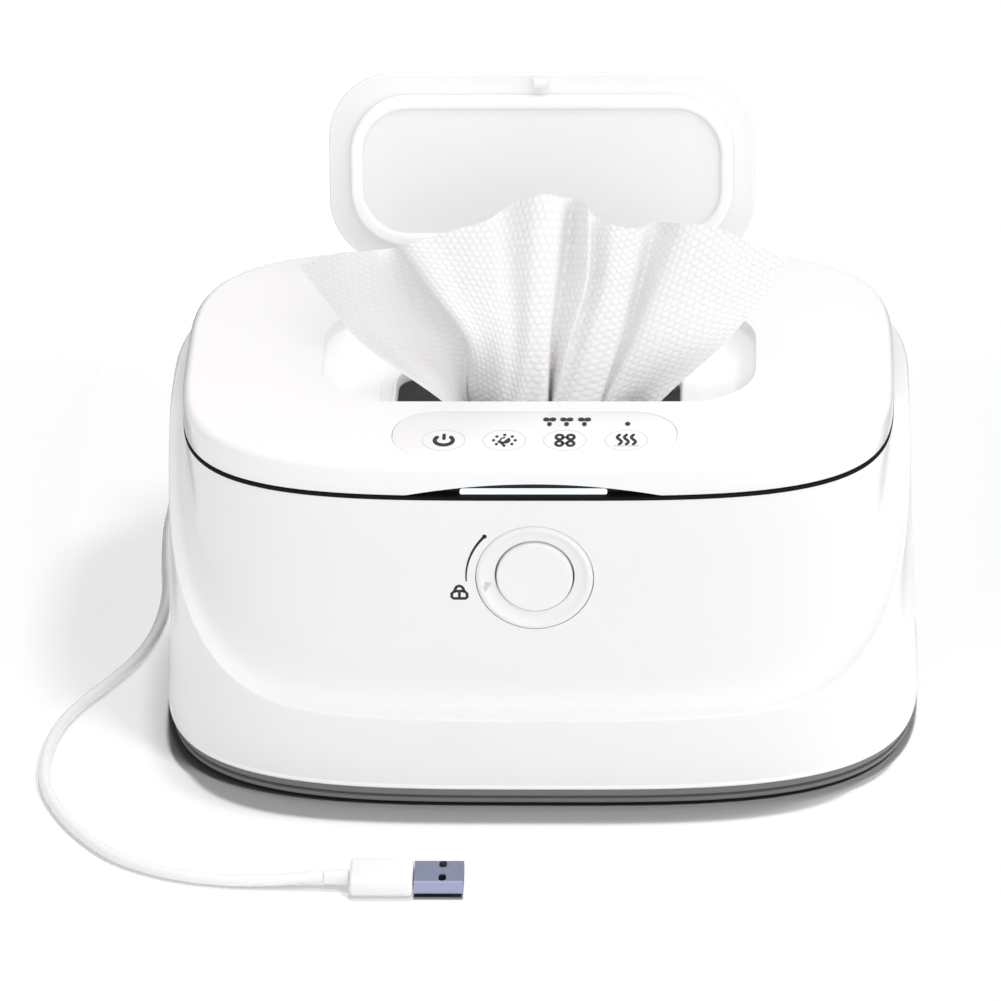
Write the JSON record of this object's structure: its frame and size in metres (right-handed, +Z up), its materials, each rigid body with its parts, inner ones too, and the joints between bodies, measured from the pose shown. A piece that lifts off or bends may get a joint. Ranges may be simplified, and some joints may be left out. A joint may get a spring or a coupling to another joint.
{
  "type": "baby wipe warmer",
  "caption": "Tub warmer for wet wipes: hinged lid with a flip door over a dispensing slot, touch panel, lit bar, front release knob with a child-lock ring, and a thin lead.",
  "frame": {"origin": "middle of the footprint of the housing, on the surface it stands on", "axes": "+X along the width to the right seen from the front, +Y to the back, where the lid hinge is, +Z up"},
  "size_m": [0.2558, 0.2975, 0.1718],
  "materials": {
    "white_plastic": "satin",
    "inner_white_plastic": "satin",
    "dark_plastic": "matte",
    "black_rubber": "matte",
    "soft_grey_rubber": "matte",
    "touch_panel": "gloss",
    "circuit_board": "satin",
    "aluminium": "brushed",
    "steel": "satin",
    "heating_film": "satin",
    "foam": "matte",
    "light_bar": "lit",
    "white_cord": "satin",
    "wet_wipe": "embossed"
  },
  "bodies": {
    "base": {"base_plate": "dark_plastic", "foot_1": "black_rubber", "foot_2": "black_rubber", "foot_3": "black_rubber", "foot_4": "black_rubber", "base_screw_1": "steel", "base_screw_2": "steel", "base_screw_3": "steel", "base_screw_4": "steel", "outer_housing": "white_plastic", "inner_tub": "inner_white_plastic", "rim_seal": "black_rubber", "heating_plate": "aluminium", "heating_film": "heating_film", "insulation_pad": "foam", "temperature_sensor": "dark_plastic", "thermal_fuse": "steel", "control_board": "circuit_board", "knob_collar": "inner_white_plastic", "button_spring": "steel", "hinge_pin_left": "steel", "hinge_pin_right": "steel", "cable_relief": "white_cord", "cord_lead": "white_cord", "cord_coil": "white_cord", "cord_tail": "white_cord", "coil_tie": "black_rubber", "plug_relief": "white_cord", "plug_body": "white_cord", "plug_shell": "steel", "plug_tongue": "dark_plastic"},
    "lid": {"lid_shell": "white_plastic", "lid_liner": "inner_white_plastic", "slot_frame": "soft_grey_rubber", "panel_overlay": "touch_panel", "touch_board": "circuit_board", "light_bezel": "dark_plastic", "light_bar": "light_bar", "light_board": "circuit_board", "lid_hook": "inner_white_plastic", "door_pin": "steel", "popup_wipe": "wet_wipe"},
    "door": {"flip_door": "white_plastic", "door_liner": "inner_white_plastic", "door_seal": "inner_white_plastic", "door_catch": "white_plastic"},
    "ring": {"lock_ring": "white_plastic"},
    "button": {"release_button": "white_plastic", "latch_slider": "inner_white_plastic"}
  },
  "joints": [
    {"name": "lid_hinge", "type": "hinge", "parent": "base", "child": "lid", "pos_m": [0, 0.072, 0.0976], "axis": [-1, 0, 0], "range_deg": [0, 85]},
    {"name": "door_hinge", "type": "hinge", "parent": "lid", "child": "door", "pos_m": [0, 0.0395, 0.1046], "axis": [1, 0, 0], "range_deg": [0, 102], "deforming": ["popup_wipe"]},
    {"name": "lock_ring_turn", "type": "hinge", "parent": "base", "child": "ring", "pos_m": [0, -0.0684, 0.071], "axis": [0, -1, 0], "range_deg": [-50, 0]},
    {"name": "button_press", "type": "slide", "parent": "base", "child": "button", "axis": [0, 1, 0], "range_m": [0, 0.002], "stiffness_N_per_m": 400, "springref_m": -0.001, "deforming": ["button_spring"]}
  ]
}
